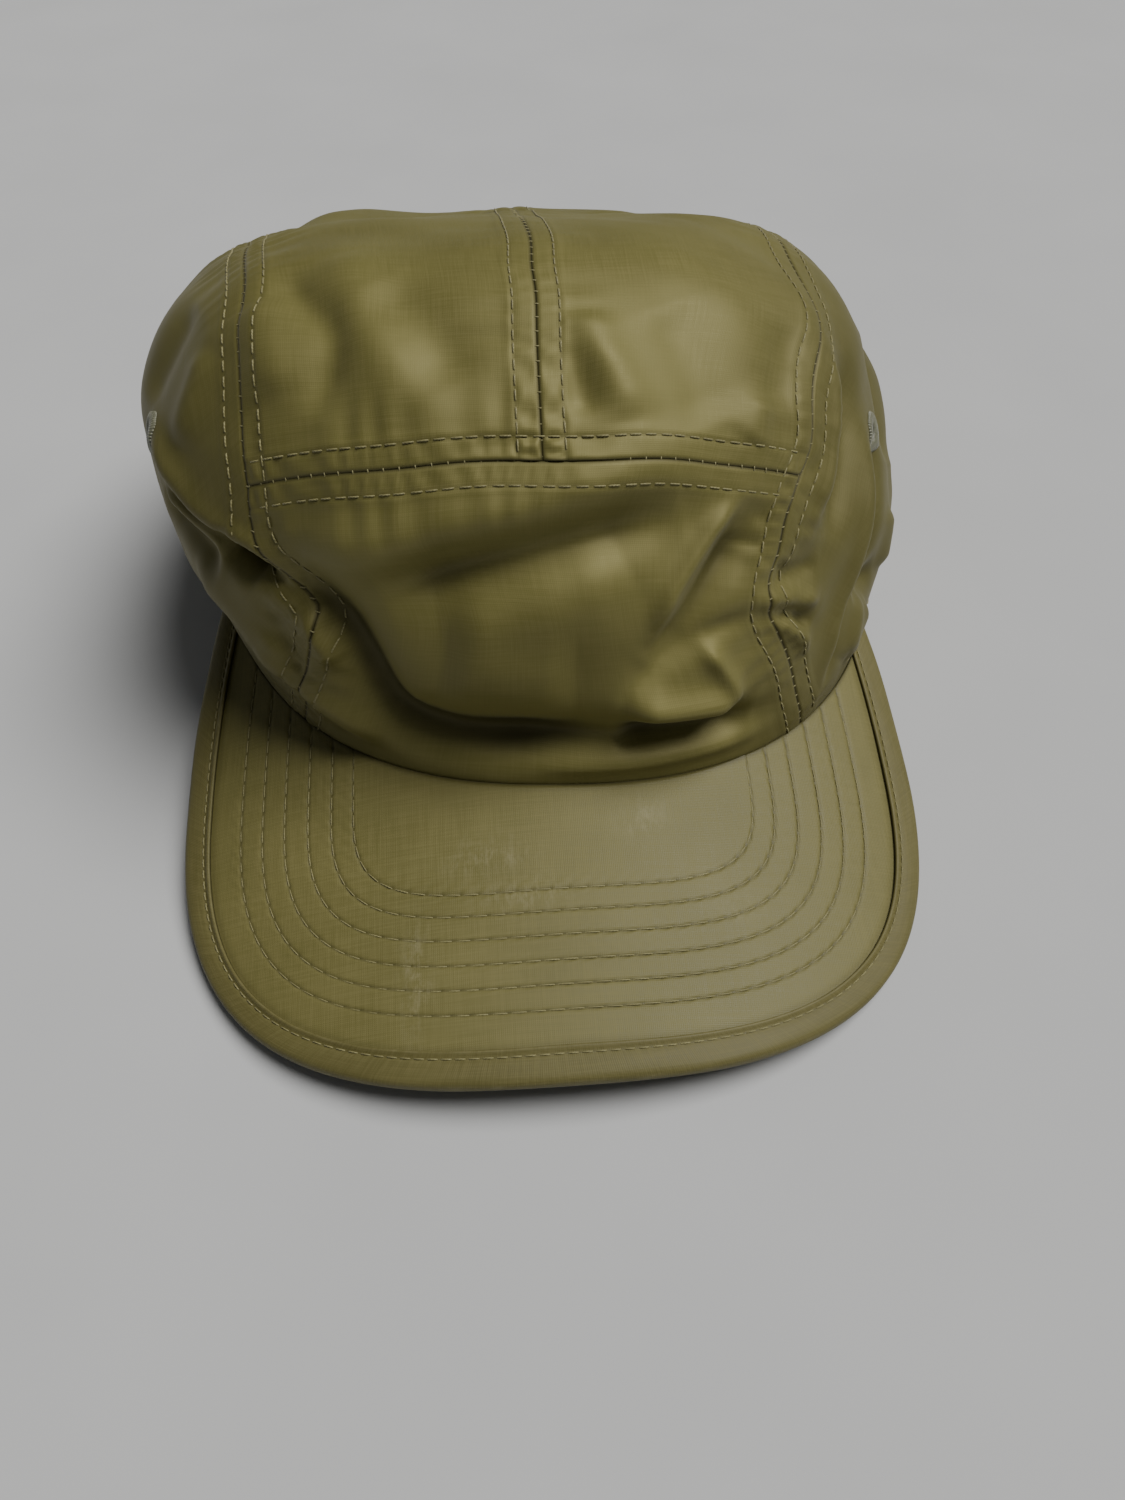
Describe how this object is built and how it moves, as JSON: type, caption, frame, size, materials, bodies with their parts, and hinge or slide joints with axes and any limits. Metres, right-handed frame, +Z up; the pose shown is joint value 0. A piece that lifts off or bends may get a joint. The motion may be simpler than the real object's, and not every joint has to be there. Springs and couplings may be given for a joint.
{
  "type": "five panel camp cap",
  "caption": "Soft five-panel cap with a stitched flat visor, embroidered eyelets, a rear arch opening and a strap closed by a hinged metal buckle.",
  "frame": {"origin": "middle of the bounding box, on the surface the cap rests on", "axes": "+Z up, visor towards -Y, +X to the wearer's left"},
  "size_m": [0.191, 0.2749, 0.1154],
  "materials": {
    "shell": "olive satin nylon twill with a soft sheen",
    "tape": "dark olive taffeta tape",
    "band": "olive brushed cotton twill",
    "backing": "grey white felt",
    "label": "white satin ribbon, blank",
    "thread": "pale sage embroidery thread",
    "webbing": "olive nylon webbing",
    "board": "milky polyethylene board",
    "metal": "antique brass, satin"
  },
  "bodies": {
    "cap": {"front_panel": "shell", "top_left_panel": "shell", "top_right_panel": "shell", "left_side_panel": "shell", "right_side_panel": "shell", "eyelets": "thread", "left_seam_tape": "tape", "right_seam_tape": "tape", "cross_seam_tape": "tape", "centre_seam_tape": "tape", "arch_binding": "shell", "sweatband_backing": "backing", "sweatband": "band", "care_label": "label", "size_label": "label", "visor_top_cover": "shell", "visor_board": "board", "visor_under_cover": "shell", "visor_edge_band": "shell", "strap": "webbing", "buckle_frame": "metal", "buckle_pin": "metal", "buckle_tab": "webbing"},
    "lever": {"buckle_lever": "metal"}
  },
  "joints": [
    {"name": "buckle_lever_hinge", "type": "hinge", "parent": "cap", "child": "lever", "pos_m": [0.01859, 0.13375, 0.01244], "axis": [0, 0.1219, 0.9925], "range_deg": [0, 100]}
  ]
}
